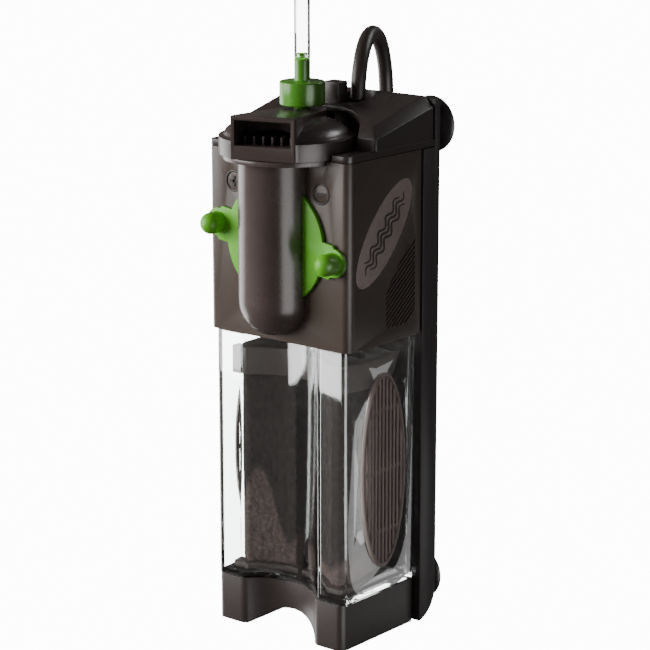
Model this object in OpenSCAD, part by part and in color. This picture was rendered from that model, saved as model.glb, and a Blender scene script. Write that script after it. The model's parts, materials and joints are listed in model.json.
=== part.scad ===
// Internal power filter for an aquarium: pump head on a clear two-cartridge canister.
// Millimetres. Front is -Y, up is +Z, the origin is on the resting surface under the middle.

/* [Body] */
// Width across the pump head
body_w = 68; // [66:0.5:68]
// Distance from the origin to the flat front
front_d = 20; // [19.5:0.5:20.5]
// Distance from the origin to the back of the canister
rear_d = 24.7; // [24.5:0.1:25]
// Radius of the two front corners
corner_r = 3; // [3:1:4]
// Height of the foot tray
tray_h = 18.3; // [17:0.1:19]
// Height where the pump head starts
head_z = 117; // [116:0.5:118]
// Height where the lid starts
lid_z = 187.9; // [187.5:0.1:188.5]
// Wall of the clear canister
clear_wall = 1.8; // [1.6:0.1:2]

/* [Groove] */
// Radius of the groove down the front
groove_r = 22.5; // [21:0.5:24]
// Depth of that groove
groove_d = 9; // [8:0.5:9.5]
// Radius of the groove's two rounded lips
lip_r = 4; // [3.5:0.5:4.5]

/* [Nozzle] */
// Radius of the turning cap
cap_r = 25.3; // [25:0.1:25.5]
// How far the cap's axis lies in front of the origin
cap_d = 14.3; // [14:0.1:14.6]
// Angle that the mouth is turned to the right
mouth_turn = 18; // [16:1:20]
// Distance from the cap's axis to the mouth's face
mouth_reach = 23.1; // [23:0.1:23.3]
// Outer width of the mouth
mouth_w = 25; // [24.8:0.1:25.2]
// Outer height of the mouth
mouth_h = 12.2; // [12:0.1:12.4]

/* [Duct and lever] */
// Outer radius of the front duct
duct_r = 13.8; // [13.4:0.1:14]
// How far the duct's axis lies in front of the origin
duct_d = 21; // [20.8:0.1:21.4]
// Radius of the throttle disc
disc_r = 23.2; // [23:0.1:24]
// Height of the throttle disc's axis
disc_z = 155; // [154:0.5:156]
// Angle of the lever at rest, left side up
lever_tilt = 8.6; // [7:0.1:10]
// Distance from the disc's axis to each peg
peg_at = 28.3; // [28:0.1:28.5]

/* [Air riser] */
// Distance from the cap's axis back to the air collar
collar_back = 15.5; // [15:0.1:16]
// Radius of the air collar
collar_r = 8.6; // [8.4:0.1:8.7]
// Outer radius of the clear air tube
tube_r = 3; // [2.8:0.1:3.2]
// Height of the air tube's top end
tube_top = 252; // [250:1:256]

/* [Bracket and cord] */
// Distance from the origin to the back of the bracket
bracket_d = 34.8; // [34.6:0.1:35]
// Distance from the origin to the glass that the cups hold
glass_d = 40.3; // [40.2:0.1:40.4]
// Radius of each suction cup
cup_r = 10.8; // [10:0.1:11]
// Diameter of the mains cord
cord_d = 6; // [6:0.1:6]

/* [Hidden] */
$fn = 64;

half_w = body_w / 2;
eps = 0.01;
gap = 0.3;              // clearance between parts that move past each other
round_fn = 96;          // facets of the largest circles
rear_corner_r = 2;

// Canister
can_half = 31.9;        // half width of the clear wall
tray_half = 31.3;
can_inset = 0.8;
can_floor = 2;
rim_h = 7;              // rim that stands up inside the pump head
rim_inset = 3.3;
rim_wall = 1.2;
tray_wall = 2.4;
tray_floor = 10.5;
arch_half = 17;         // half width of the arch under the tray
arch_h = 7.5;
arch_r = (arch_half * arch_half + arch_h * arch_h) / (2 * arch_h);
boss_h = 2;

// Intake grilles
grille_y = 4;
grille_z = 66.5;
grille_ry = 13.2;
grille_rz = 38.4;
grille_out = 32.7;      // outer face, measured from the middle plane
grille_in = 30.4;
rib_pitch = 3.2;
rib_w = 1.5;
rib_back = 0.4;
grille_rim = 1.5;
cross_pitch = 24;       // spacing of the three bars behind the ribs
cross_w = 2;

// Cartridges
cart_top = 110;
cart_band = 99.5;
cart_gap = 1.2;         // half of the gap between the two cartridges
cart_inset = 4.9;
cart_wall = 1.4;
foam_inset = 6.5;
foam_core = 5;
core_x = 15.5;
core_y = 5;
cart_low = 20.9;
cart_plate = 2;

// Pump head
shell = 2;
front_wall = 3;
cover_z = 124.6;
cover_t = 2.4;
volute_r = 16.4;
volute_top = 147;
rotor_y = 6;
block_low = 147.6;
block_top = 182.4;
block_half = 22;
block_front = -9.5;
block_rear = 21.5;
well_r = 9.3;
well_top = 177;
magnet_r = 8.5;
blade_r = 12.6;
shaft_r = 1.25;
bore_r = 1.31;
bush_r = 2.6;
eye_r = 7.5;
port_z = 140;
port_r = 4.5;
seal_out = 6.4;         // seal around the port, let into the casing's front
seal_in = 5.2;
seal_t = 0.8;
screw_x = 18.5;
screw_dy = 12;
screw_r = 1.45;
screw_head_r = 2.6;
pillar_r = 3;
hub_r = 3.6;
hub_h = 22;
inner_corner_r = 2;

// Markers, badges and ribs on the head's outside
mark_x = 21.2;
mark_z = 175.4;
mark_r = 4.05;
mark_deep = 1;
mark_t = 0.8;
sign_l = 4.2;           // length of a marker's bar
badge_ry = 9.2;
badge_rz = 23.6;
badge_lean = 40;
badge_at = [1.4, 159.2];
badge_t = 0.7;
side_rib_pitch = 2;
side_rib_w = 0.9;
side_rib_lean = 38;

// Nozzle and its seat
seat_z = 187.9;
rim_low = 188.2;
rim_top = 194.6;
socket_r = 27.2;
pivot_r = 3;
pivot_gap = 0.06;
mouth_low = 191.9;
mouth_wall = 1.4;
fin_pitch = 3.6;
fin_w = 0.8;
fin_h = 3;
hood_top = 201.6;        // top of the hood where it carries the air collar
dome_h = 7;
spigot_low = 197.5;
collar_low = 203.6;
collar_top = 212.4;
neck_r = 3;
neck_h = 8.4;
nipple_r = 2.1;
tube_low = collar_top + neck_h;
nozzle_seal_out = 21.5;
nozzle_seal_in = 20;

// Lever
lever_back = front_d + 0.15;
lever_t = 1.5;
duct_back = lever_back + lever_t + 0.15;
duct_wall = 1.8;
duct_low = 119.6;
ear_r = 5.4;
peg_r = 4.1;
peg_out = 5.5;          // length of the peg's straight part

// Bracket
bracket_front = rear_d + 0.2;
bracket_top = 187.4;
plate_top = 205.5;      // the bracket's back plate rises behind the lid
lid_rear = 31.4;
block_at = [-6, 14.4, 202];
block_size = [7, 6, 8.8];
bracket_wall = 2.4;
bracket_toe = 12;       // radius of the bracket's rounded lower rear edge
cell_pitch = 12.2;      // hollows in the bracket's front
cell_w = 10.4;
cup_xz = [[26, 194.5], [22, 14]];
cup_stem_r = 2.4;

// Cord: from the gland to the coil, then up onto the coil and over to the plug
cord_r = cord_d / 2;
function ease(u) = let (v = max(0, min(1, u))) v * v * (3 - 2 * v);
gland_at = [3, 24];
hang_at = [-17, 67];     // where the cord hangs down behind the filter
loop_rise = 25.4;        // height of the cord's arch above its gland
gland_low = 188.1;
gland_top = 203;
gland_r = 4.3;
gland_seat_r = 7;
coil_at = [-59, 82];
coil_in = 22;
coil_out = 40;
coil_h = 12;
turn_r = 37;             // middle of the coil's widest turn
run_route = concat(
    [for (a = [0 : 15 : 180]) let (p = gland_at + (hang_at - gland_at) * (1 - cos(a)) / 2)
        [p[0], p[1], gland_top + loop_rise * sin(a) - 5 * ease(a / 180)]],
    [for (z = [180 : -20 : 60]) [hang_at[0], hang_at[1], z]],
    [[-17, 67, 42], [-17, 67, 28], [-17.1, 68.8, 18.4], [-18.3, 74, 10.3],
        [-20.6, 81.9, 4.9], [-23.2, 91.1, 3]]
);
lead_climb = [
    for (a = [212 : 12 : 332])
        [coil_at[0] + turn_r * cos(a), coil_at[1] + turn_r * sin(a),
            1.5 * cord_d + cord_d * ease((a - 212) / 72)]
];
lead_end = [
    [-24.2, 69.3, 15], [-23.3, 74, 15.6], [-23.2, 79, 16.2], [-23.9, 84, 16.7],
    [-25, 88.5, 17], [-27.5, 92.6, 17.9], [-30.8, 96.3, 18.5], [-34.8, 99.4, 18.9],
    [-39, 101.4, 19]
];
plug_turn = 160;        // heading of the plug, from +X
plug_at = [-39, 101.4, 19];
relief_l = 12;
plug_l = 34;
plug_w = 33;
plug_t = 14;
pin_gap = 18.6;         // spacing of the two pins at their roots
pin_r = 2;
pin_l = 19;

function unit(v) = v / norm(v);
function heading(route, i) =
    unit(route[min(i + 1, len(route) - 1)] - route[max(i - 1, 0)]);

// A tube along a route, as one closed skin of rings.
module swept_tube(route, radius, side, sides = 10) {
    rings = len(route);
    points = [
        for (i = [0 : rings - 1])
            let (t = heading(route, i), a = unit(cross(t, side)), b = cross(t, a))
            for (k = [0 : sides - 1])
                route[i] + radius * (cos(360 * k / sides) * a + sin(360 * k / sides) * b)
    ];
    walls = [
        for (i = [0 : rings - 2], k = [0 : sides - 1])
            let (n = (k + 1) % sides)
            [i * sides + k, i * sides + n, (i + 1) * sides + n, (i + 1) * sides + k]
    ];
    first_end = [[for (k = [sides - 1 : -1 : 0]) k]];
    last_end = [[for (k = [0 : sides - 1]) (rings - 1) * sides + k]];
    polyhedron(points, concat(walls, first_end, last_end), convexity = 6);
}

// A rectangle from the middle plane out to half, with round front and rear corners.
module rounded_plan(half, front, rear, r_front, r_rear) {
    for (s = [-1, 1]) {
        translate([s * (half - r_front), front + r_front]) circle(r_front);
        translate([s * (half - r_rear), rear - r_rear]) circle(r_rear);
    }
    translate([-half + r_front, front]) square([2 * (half - r_front), rear - front]);
    translate([-half, front + r_front]) square([2 * half, rear - r_rear - front - r_front]);
    translate([-half + r_rear, rear - r_rear - eps]) square([2 * (half - r_rear), r_rear + eps]);
}

// The canister's plan, moved inwards by an inset: a rounded box with a groove down its front.
module grooved_plan(half, inset) {
    groove_y = -front_d - groove_r + groove_d;
    r = groove_r + inset;
    lip = max(lip_r - inset, 0.4);
    front = -front_d + inset;
    lip_y = front + lip;
    lip_x = sqrt(pow(r + lip, 2) - pow(lip_y - groove_y, 2));
    touch = [0, groove_y] + r * unit([lip_x, lip_y - groove_y]);
    difference() {
        rounded_plan(half - inset, front, rear_d - inset, max(corner_r - inset, 1), rear_corner_r);
        translate([0, groove_y]) circle(r);
        for (s = [-1, 1]) difference() {
            polygon([
                [s * touch[0], touch[1]], [s * lip_x, lip_y], [s * lip_x, front - 1],
                [s * (touch[0] - 3), front - 1]
            ]);
            translate([s * lip_x, lip_y]) circle(lip);
        }
    }
}

module head_plan(inset) {
    rounded_plan(half_w - inset, -front_d + inset, rear_d - inset, corner_r - inset,
        rear_corner_r);
}

// An oval drawn in the side plane and extruded outwards along +X.
module side_oval(ry, rz, x0, x1) {
    points = [for (i = [0 : 47]) [rz * cos(i * 7.5), ry * sin(i * 7.5)]];
    translate([x0, 0, 0]) rotate([0, -90, 0]) mirror([0, 0, 1])
        linear_extrude(height = x1 - x0) polygon(points);
}

module mirror_left(left) {
    if (left) mirror([1, 0, 0]) children();
    else children();
}

// ---- Canister ----

module base_tray() {
    color("#3b3231") difference() {
        linear_extrude(height = tray_h) grooved_plan(tray_half, 0);
        translate([0, 0, tray_floor]) linear_extrude(height = tray_h)
            grooved_plan(tray_half, tray_wall);
        translate([0, -front_d - 1, arch_h - arch_r]) rotate([-90, 0, 0])
            cylinder(r = arch_r, h = rear_d + front_d + 2, $fn = round_fn);
    }
}

module filter_container() {
    rise = head_z - tray_h;
    color("#dfe8e4", 0.35) difference() {
        union() {
            translate([0, 0, tray_h]) linear_extrude(height = rise)
                grooved_plan(can_half + can_inset, can_inset);
            translate([0, 0, head_z - 1]) linear_extrude(height = rim_h + 1)
                grooved_plan(half_w, rim_inset);
            translate([0, 0, tray_h - boss_h]) linear_extrude(height = boss_h + 1)
                grooved_plan(tray_half, tray_wall + gap);
        }
        translate([0, 0, tray_h + can_floor])
            linear_extrude(height = rise - can_floor - 1)
            grooved_plan(can_half + can_inset, can_inset + clear_wall);
        translate([0, 0, head_z - 2]) linear_extrude(height = rim_h + 3)
            grooved_plan(half_w, rim_inset + rim_wall);
        for (left = [false, true]) mirror_left(left)
            translate([0, grille_y, grille_z]) side_oval(grille_ry, grille_rz, 25, 40);
    }
}

module intake_grille(left) {
    deep = grille_out - grille_in;
    color("#6f655f") mirror_left(left) translate([0, grille_y, grille_z]) {
        difference() {
            side_oval(grille_ry, grille_rz, grille_in, grille_out);
            side_oval(grille_ry - grille_rim, grille_rz - grille_rim, grille_in - 1, grille_out + 1);
        }
        intersection() {
            side_oval(grille_ry - 1, grille_rz - 1, grille_in + rib_back, grille_out - rib_back);
            for (i = [-3 : 3])
                translate([grille_in, i * rib_pitch - rib_w / 2, -grille_rz])
                    cube([deep, rib_w, 2 * grille_rz]);
        }
        intersection() {
            side_oval(grille_ry - 1, grille_rz - 1, grille_in + 0.6, grille_in + 1.6);
            for (i = [-1 : 1])
                translate([grille_in, -grille_ry, i * cross_pitch - cross_w / 2])
                    cube([deep, 2 * grille_ry, cross_w]);
        }
    }
}
module intake_grille_left() { intake_grille(true); }
module intake_grille_right() { intake_grille(false); }

// One cartridge's plan: half of the canister's inside, moved in by an inset.
module cartridge_plan(inset, from_middle) {
    intersection() {
        grooved_plan(can_half, inset);
        translate([from_middle, -50]) square([50, 100]);
    }
}

module cartridge_frame(left) {
    color("#6b615b") mirror_left(left) {
        difference() {
            translate([0, 0, cart_band]) linear_extrude(height = cart_top - cart_band)
                cartridge_plan(cart_inset, cart_gap);
            translate([0, 0, cart_band - 1])
                linear_extrude(height = cart_top - cart_band + 1 - cart_plate)
                cartridge_plan(cart_inset + cart_wall, cart_gap + cart_wall);
            translate([core_x, core_y, cart_band]) cylinder(r = foam_core, h = 20);
        }
        translate([0, 0, cart_low]) linear_extrude(height = cart_plate)
            cartridge_plan(cart_inset, cart_gap);
        intersection() {
            translate([0, 0, cart_low]) linear_extrude(height = cart_top - cart_low)
                cartridge_plan(cart_inset, cart_gap);
            union() {
                translate([cart_gap, 8, cart_low]) cube([cart_wall, 30, cart_top - cart_low]);
                translate([cart_gap, rear_d - cart_inset - cart_wall, cart_low])
                    cube([40, cart_wall, cart_top - cart_low]);
            }
        }
    }
}
module cartridge_frame_left() { cartridge_frame(true); }
module cartridge_frame_right() { cartridge_frame(false); }

module foam(left) {
    color("#2c2120") mirror_left(left) difference() {
        translate([0, 0, cart_low + cart_plate])
            linear_extrude(height = cart_top - cart_low - 2 * cart_plate)
            cartridge_plan(foam_inset, cart_gap + cart_wall + 0.4);
        translate([core_x, core_y, cart_low]) cylinder(r = foam_core, h = 120);
    }
}
module foam_left() { foam(true); }
module foam_right() { foam(false); }

// ---- Bracket ----

module wall_bracket() {
    depth = bracket_d - bracket_front;
    toe = bracket_toe;
    color("#2e2625") difference() {
        union() {
            translate([-half_w, bracket_front, 0]) cube([body_w, depth, bracket_top]);
            translate([-half_w, lid_rear + 0.4, 0])
                cube([body_w, bracket_d - lid_rear - 0.4, plate_top]);
        }
        for (i = [-2 : 2])
            translate([i * cell_pitch - cell_w / 2, bracket_front - 1, bracket_wall])
                cube([cell_w, depth - bracket_wall + 1, bracket_top - 2 * bracket_wall]);
        translate([-half_w - 1, bracket_d, 0]) rotate([0, 90, 0])
            linear_extrude(height = body_w + 2) difference() {
                translate([-toe, -toe]) square([toe + 1, toe + 1]);
                translate([-toe, -toe]) circle(toe);
            }
        for (c = cup_xz, s = [-1, 1])
            translate([s * c[0], bracket_d - bracket_wall - 1, c[1]]) rotate([-90, 0, 0])
                cylinder(r = cup_stem_r, h = bracket_wall + 2);
    }
}

module suction_cup(side, row) {
    at = cup_xz[row];
    deep = glass_d - bracket_d;
    color("#3a3433") translate([side * at[0], bracket_d, at[1]]) rotate([-90, 0, 0]) {
        rotate_extrude() polygon([
            [0, -bracket_wall], [cup_stem_r, -bracket_wall], [cup_stem_r, 0], [4.2, 0], [4.6, 1.6],
            [cup_r - 0.6, deep - 1], [cup_r, deep], [cup_r - 1.3, deep], [5, deep - 2.6],
            [0, deep - 3]
        ]);
        if (row == 1) translate([0, 0, -bracket_wall - 1.2]) cylinder(r = 3.2, h = 1.2);
    }
}
module suction_cup_top_left() { suction_cup(-1, 0); }
module suction_cup_top_right() { suction_cup(1, 0); }
module suction_cup_bottom_left() { suction_cup(-1, 1); }
module suction_cup_bottom_right() { suction_cup(1, 1); }

// ---- Pump head ----

module at_cap() {
    translate([0, -cap_d, 0]) rotate([0, 0, mouth_turn]) children();
}

// A cylinder along -Y whose back end is at y_from.
module front_peg(x, z, y_from, length, r) {
    translate([x, y_from, z]) rotate([90, 0, 0]) cylinder(r = r, h = length);
}

module badge_oval(grow, x0, x1) {
    translate([0, badge_at[0], badge_at[1]]) rotate([-badge_lean, 0, 0])
        side_oval(badge_ry + grow, badge_rz + grow, x0, x1);
}

// The slanting ribs that fill the lower rear of each side.
module side_ribs(x0, x1) {
    intersection() {
        translate([x0, 0, 0]) rotate([90, 0, 90]) linear_extrude(height = x1 - x0)
            polygon([[2.5, 122.5], [20, 122.5], [20, 154], [15, 152], [2.5, 137]]);
        for (i = [0 : 18])
            translate([x0, 11, 120 + i * side_rib_pitch]) rotate([side_rib_lean, 0, 0])
                translate([0, -20, 0]) cube([x1 - x0, 40, side_rib_w]);
    }
}

module pump_housing() {
    head_low = head_z + 0.1;
    head_h = lid_z - gap - head_low;
    color("#675e55") {
        difference() {
            translate([0, 0, head_low]) linear_extrude(height = head_h) head_plan(0);
            translate([0, 0, head_low - 1]) linear_extrude(height = head_h + 2)
                rounded_plan(half_w - shell, -front_d + front_wall, rear_d - shell,
                    inner_corner_r, 1);
            translate([0, -cap_d, seat_z - 1.9]) cylinder(r = cap_r - 1, h = 20);
            translate([0, -cap_d, rim_low - 0.2]) cylinder(r = cap_r + 0.4, h = 20);
            front_peg(0, port_z, 0, front_d + 1, port_r);
            front_peg(0, port_z, -front_d + seal_t, 2, seal_out);
            for (s = [-1, 1]) front_peg(s * mark_x, mark_z, -front_d + mark_deep, 2, mark_r + 0.05);
            for (left = [false, true]) mirror_left(left) {
                badge_oval(0.1, half_w - badge_t, half_w + 1);
                side_ribs(half_w - badge_t, half_w + 1);
            }
        }
        front_peg(0, disc_z, -front_d + 0.5, 2.2, pivot_r);
    }
}

module raised_block(inset) {
    r = 1;
    rear = lid_rear - r - inset;
    corners = [[half_w - 0.2, -4, 195.2], [half_w - 4, -0.5, 198.8]];
    ends = [[half_w - 0.2, rear, 203], [half_w - 4, rear, 206.6]];
    hull() for (s = [-1, 1]) {
        for (c = corners)
            translate([s * (c[0] - r - inset), c[1] + r + inset, c[2] - r - inset])
                sphere(r, $fn = 16);
        for (c = ends)
            translate([s * (c[0] - r - inset), c[1], c[2] - r - inset]) sphere(r, $fn = 16);
        translate([s * (half_w - 1.2 - inset), -3 + inset, lid_z + 1 - inset])
            cylinder(r = r, h = 1, $fn = 16);
        translate([s * (half_w - 1.2 - inset), rear, lid_z + 1 - inset])
            cylinder(r = r, h = 1, $fn = 16);
    }
}

module lid() {
    low_t = 2.4;
    color("#3a302e") difference() {
        union() {
            translate([0, 0, lid_z]) linear_extrude(height = low_t) {
                head_plan(0);
                translate([-half_w, 0]) square([body_w, lid_rear]);
            }
            difference() {
                raised_block(0);
                raised_block(2.2);
            }
            intersection() {
                raised_block(0.2);
                translate([gland_at[0], gland_at[1], lid_z])
                    cylinder(r = gland_seat_r + 2, h = 30);
            }
        }
        translate([0, -cap_d, lid_z - 1]) cylinder(r = socket_r - 0.3, h = 40);
        translate([0, -cap_d, lid_z + low_t]) cylinder(r = socket_r, h = 40);
        translate([gland_at[0], gland_at[1], lid_z - 1]) cylinder(r = gland_r, h = 40);
        translate([gland_at[0], gland_at[1], lid_z + 5]) cylinder(r = gland_seat_r, h = 40);
    }
}

module lid_block() {
    color("#2f2726") translate(block_at) cube(block_size);
}

module badge_left() {
    color("#8a807a") mirror([1, 0, 0]) badge_oval(0, half_w - badge_t, half_w);
}
module badge_right() {
    color("#8a807a") badge_oval(0, half_w - badge_t, half_w);
}

// Round marker with a raised sign: one bar, or two bars crossed.
module flow_mark(side, bars) {
    color("#3b3130") front_peg(side * mark_x, mark_z, -front_d + mark_deep, mark_t, mark_r);
    color("#8a807a") for (i = [0 : bars - 1])
        translate([side * mark_x, -front_d + 0.1, mark_z]) rotate([0, 90 * i, 0])
            cube([sign_l, 0.2, 1], center = true);
}
module flow_mark_plus() { flow_mark(-1, 2); }
module flow_mark_minus() { flow_mark(1, 1); }

// A round-ended upright bar, cut flat at the back.
module duct_bar(r, back, top) {
    intersection() {
        translate([0, -duct_d, duct_low + duct_r]) union() {
            sphere(r);
            cylinder(r = r, h = top - duct_low - duct_r);
        }
        translate([-50, -100, 0]) cube([100, 100 - back, 300]);
    }
}

module outlet_duct() {
    color("#6d6460") {
        difference() {
            union() {
                duct_bar(duct_r, front_d + 0.02, seat_z - 0.5);
                translate([0, -cap_d, seat_z - 1.7]) cylinder(r = cap_r - 1.4, h = 1.7);
            }
            duct_bar(duct_r - duct_wall, duct_back + duct_wall, seat_z + 2);
            front_peg(0, disc_z, -front_d + 1, duct_back - front_d + 1, disc_r + 0.4);
            front_peg(0, port_z, -front_d, 8, port_r);
        }
        translate([0, -cap_d, seat_z - 0.5]) cylinder(r = pivot_r, h = 8.5);
    }
}

module motor_block() {
    color("#4b4a50") difference() {
        translate([-block_half, block_front, block_low])
            cube([2 * block_half, block_rear - block_front, block_top - block_low]);
        translate([0, rotor_y, block_low - 1]) cylinder(r = well_r, h = well_top - block_low + 1);
        translate([0, rotor_y, well_top - 1]) cylinder(r = bush_r, h = 4);
        for (x = [-1, 1], y = [-1, 1])
            translate([x * screw_x, rotor_y + y * screw_dy, block_low - 1])
                cylinder(r = screw_r, h = 9);
    }
}

module pump_cover() {
    color("#4a4441") difference() {
        union() {
            translate([0, 0, cover_z]) linear_extrude(height = cover_t)
                rounded_plan(half_w - shell - 0.1, -front_d + front_wall + 0.1,
                    rear_d - shell - 0.1, inner_corner_r - 0.1, 1);
            translate([0, rotor_y, cover_z]) cylinder(r = volute_r, h = volute_top - cover_z);
            translate([0, rotor_y, port_z]) rotate([90, 0, 0])
                cylinder(r = port_r + 1.6, h = rotor_y + front_d - front_wall - 0.1);
            for (x = [-1, 1], y = [-1, 1])
                translate([x * screw_x, rotor_y + y * screw_dy, cover_z])
                    cylinder(r = pillar_r, h = block_low - cover_z);
        }
        translate([0, rotor_y, cover_z + cover_t + 3]) cylinder(r = volute_r - 2, h = 40);
        difference() {
            translate([0, rotor_y, cover_z - 1]) cylinder(r = eye_r, h = 20);
            translate([0, rotor_y, cover_z - 2]) cylinder(r = bush_r + 1.4, h = 7);
            for (a = [0 : 120 : 240])
                translate([0, rotor_y, cover_z]) rotate([0, 0, a])
                    translate([0, -1, 0]) cube([eye_r + 1, 2, 5]);
        }
        translate([0, rotor_y, cover_z + 1]) cylinder(r = bush_r, h = 6);
        translate([0, rotor_y, port_z]) rotate([90, 0, 0]) cylinder(r = port_r, h = 40);
        for (x = [-1, 1], y = [-1, 1])
            translate([x * screw_x, rotor_y + y * screw_dy, cover_z - 1]) {
                cylinder(r = screw_r, h = 40);
                cylinder(r = screw_head_r + 0.2, h = 2.6);
            }
    }
}

module flat_ring(r_in, r_out, z, h) {
    translate([0, rotor_y, z]) difference() {
        cylinder(r = r_out, h = h);
        translate([0, 0, -1]) cylinder(r = r_in, h = h + 2);
    }
}

module pump_seal() {
    color("#232021") flat_ring(volute_r - 1.6, volute_r - 0.2, volute_top, block_low - volute_top);
}

module container_seal() {
    color("#232021") translate([0, 0, cover_z - 0.5]) linear_extrude(height = 0.5)
        difference() {
            grooved_plan(half_w, rim_inset);
            grooved_plan(half_w, rim_inset + rim_wall);
        }
}

module valve_seal() {
    color("#232021") difference() {
        front_peg(0, port_z, -front_d + seal_t, seal_t, seal_out);
        front_peg(0, port_z, -front_d + 2, 4, seal_in);
    }
}

module bush(z, h) {
    color("#2a2626") difference() {
        translate([0, rotor_y, z]) cylinder(r = bush_r, h = h);
        translate([0, rotor_y, z - 1]) cylinder(r = shaft_r, h = h + 2);
    }
}
module shaft_bush_top() { bush(well_top, 3); }
module shaft_bush_bottom() { bush(cover_z + 1, 4); }

module impeller_shaft() {
    color("#e4e0d8") translate([0, rotor_y, cover_z + 1])
        cylinder(r = shaft_r, h = well_top + 3 - cover_z - 1);
}

module housing_screws() {
    color("#b9bcc0") for (x = [-1, 1], y = [-1, 1])
        translate([x * screw_x, rotor_y + y * screw_dy, cover_z + 0.1]) {
            cylinder(r = screw_r, h = block_low - cover_z + 7);
            difference() {
                cylinder(r = screw_head_r, h = 1.5);
                for (a = [0, 90]) rotate([0, 0, a]) translate([-1.5, -0.3, -1]) cube([3, 0.6, 1.7]);
            }
        }
}

// ---- Rotor ----

module impeller() {
    low = cover_z + 6;
    color("#e8e6df") difference() {
        translate([0, rotor_y, low]) {
            cylinder(r = hub_r, h = hub_h);
            translate([0, 0, 11]) cylinder(r = blade_r, h = 1.6);
            for (a = [0 : 60 : 300]) rotate([0, 0, a])
                translate([2.5, -0.8, 0]) cube([blade_r - 2.5, 1.6, 11.5]);
        }
        translate([0, rotor_y, low - 1]) cylinder(r = bore_r, h = 30);
    }
}

module rotor_magnet() {
    low = 150.5;
    hub_top = cover_z + 6 + hub_h;
    color("#3c3c40") difference() {
        translate([0, rotor_y, low]) cylinder(r = magnet_r, h = well_top - 1 - low);
        translate([0, rotor_y, low - 1]) cylinder(r = hub_r, h = hub_top - low + 1);
        translate([0, rotor_y, low - 1]) cylinder(r = bore_r, h = 40);
    }
}

// ---- Flow lever ----

module flow_lever() {
    color("#62b135") translate([0, -lever_back, disc_z]) rotate([0, lever_tilt, 0])
        rotate([90, 0, 0]) difference() {
            union() {
                cylinder(r = disc_r, h = lever_t, $fn = round_fn);
                for (s = [-1, 1]) {
                    translate([s * peg_at, 0, 0]) cylinder(r = ear_r, h = lever_t);
                    intersection() {
                        translate([s * (peg_at - 6), 0, lever_t / 2])
                            cube([12, 13, lever_t], center = true);
                        translate([s * (peg_at - 8), 0, 0]) cylinder(r = 9.4, h = lever_t);
                    }
                    translate([s * peg_at, 0, 0]) cylinder(r = peg_r, h = peg_out);
                    translate([s * peg_at, 0, peg_out]) sphere(peg_r);
                }
            }
            translate([0, 0, -1]) cylinder(r = pivot_r + pivot_gap, h = lever_t + 2);
            translate([0, port_z - disc_z, -1]) cylinder(r = port_r, h = lever_t + 2);
        }
}

// ---- Nozzle and air riser ----

module nozzle() {
    hood_back = collar_back;
    color("#4a413e") at_cap() difference() {
        union() {
            translate([0, 0, rim_low]) cylinder(r = cap_r, h = rim_top - rim_low, $fn = round_fn);
            rotate_extrude($fn = round_fn) polygon([
                [0, rim_top - 1], [cap_r, rim_top - 1], [cap_r, rim_top], [cap_r - 1.8, rim_top + 0.5],
                [22.6, rim_top + 2.2], [20.4, rim_top + 4],
                [16, rim_top + 5.6], [10, rim_top + 6.6], [0, rim_top + dome_h]
            ]);
            hull() {
                translate([-mouth_w / 2, -mouth_reach, mouth_low]) cube([mouth_w, 3, mouth_h]);
                translate([0, hood_back, rim_top])
                    cylinder(r = collar_r + 0.6, h = hood_top - rim_top, $fn = 48);
            }
            translate([-mouth_w / 2, -mouth_reach, rim_low])
                cube([mouth_w, 8, mouth_low - rim_low + 1]);
        }
        translate([-mouth_w / 2, -cap_r - 1, rim_low - 1])
            cube([mouth_w, cap_r + 1 - mouth_reach, 2 * mouth_h]);
        translate([0, 0, rim_low - 1]) cylinder(r = cap_r - 3, h = mouth_low - rim_low + 0.8);
        difference() {
            translate([0, 0, mouth_low - 0.6]) cylinder(r1 = cap_r - 3, r2 = 9, h = 7);
            translate([0, 0, mouth_low - 1.6]) cylinder(r = pivot_r + 2.2, h = 10);
        }
        translate([-mouth_w / 2 + mouth_wall, -mouth_reach - 1, mouth_low + mouth_wall])
            cube([mouth_w - 2 * mouth_wall, 14, mouth_h - 2 * mouth_wall]);
        translate([0, 0, rim_low - 1])
            cylinder(r = pivot_r + pivot_gap, h = seat_z + 8.2 - rim_low + 1);
        translate([0, hood_back, spigot_low - 0.2]) cylinder(r = pivot_r + pivot_gap, h = 20);
        translate([0, hood_back, rim_low]) cylinder(r = 1.2, h = 20);
    }
}

module nozzle_fins() {
    color("#2c2524") at_cap() for (i = [-2.5 : 2.5])
        translate([i * fin_pitch - fin_w / 2, -mouth_reach + 5, mouth_low + mouth_wall])
            cube([fin_w, 6, fin_h]);
}

module nozzle_seal() {
    color("#232021") translate([0, -cap_d, seat_z]) difference() {
        cylinder(r = nozzle_seal_out, h = 0.8);
        translate([0, 0, -1]) cylinder(r = nozzle_seal_in, h = 3);
        translate([-50, -duct_r - 50, -1]) cube([100, 50, 3]);
    }
}

module air_regulator() {
    color("#66b83a") at_cap() translate([0, collar_back, 0]) difference() {
        union() {
            translate([0, 0, collar_low]) cylinder(r = collar_r, h = collar_top - collar_low);
            translate([0, 0, spigot_low]) cylinder(r = pivot_r, h = collar_low - spigot_low + 1);
            translate([0, 0, collar_top - 1]) cylinder(r = neck_r, h = neck_h + 1);
            translate([0, 0, tube_low - 1]) cylinder(r = nipple_r, h = 3.5);
        }
        translate([0, 0, rim_top]) cylinder(r = 1, h = 40);
    }
}

module air_tube() {
    color("#eef2f2", 0.4) at_cap() translate([0, collar_back, tube_low]) difference() {
        cylinder(r = tube_r, h = tube_top - tube_low);
        translate([0, 0, -1]) cylinder(r = nipple_r, h = tube_top - tube_low + 2);
    }
}

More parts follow.
